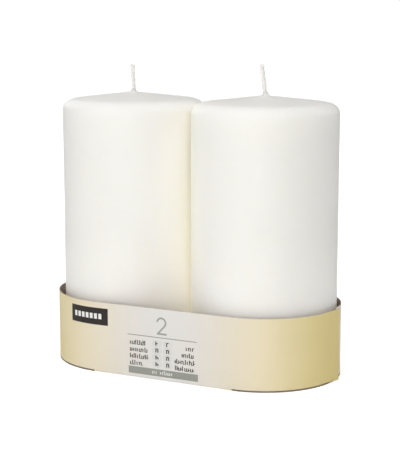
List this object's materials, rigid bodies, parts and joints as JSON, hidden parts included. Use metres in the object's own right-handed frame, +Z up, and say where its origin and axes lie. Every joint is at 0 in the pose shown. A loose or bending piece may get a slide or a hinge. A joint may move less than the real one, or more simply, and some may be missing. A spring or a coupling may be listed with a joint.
{
  "type": "pillar candle twin pack",
  "caption": "Pair of white wax pillar candles with braided wicks, standing side by side in a low open tray folded from printed board, from which each lifts out.",
  "frame": {"origin": "middle of the tray's underside, on the surface it stands on", "axes": "+Z up along the candles, +X from the left candle to the right one, -Y towards the printed front"},
  "size_m": [0.167, 0.086, 0.1684],
  "materials": {
    "board_printed": "satin",
    "board_inside": "matte",
    "wax_core": "satin",
    "wax_coat": "satin",
    "wick": "matte",
    "tinplate": "satin"
  },
  "bodies": {
    "tray": {"base_panel": "board_inside", "front_wall": "board_printed", "rear_wall": "board_printed", "left_end_wall": "board_printed", "right_end_front_wall": "board_printed", "right_end_rear_wall": "board_printed", "seam_flap": "board_inside", "rear_glue_flap": "board_inside"},
    "left_candle": {"left_wax_core": "wax_core", "left_wax_coat": "wax_coat", "left_wick": "wick", "left_wick_sustainer": "tinplate"},
    "right_candle": {"right_wax_core": "wax_core", "right_wax_coat": "wax_coat", "right_wick": "wick", "right_wick_sustainer": "tinplate"}
  },
  "joints": [
    {"name": "left_candle_lift", "type": "slide", "parent": "tray", "child": "left_candle", "axis": [0, 0, 1], "range_m": [0, 0.05]},
    {"name": "right_candle_lift", "type": "slide", "parent": "tray", "child": "right_candle", "axis": [0, 0, 1], "range_m": [0, 0.05]}
  ]
}
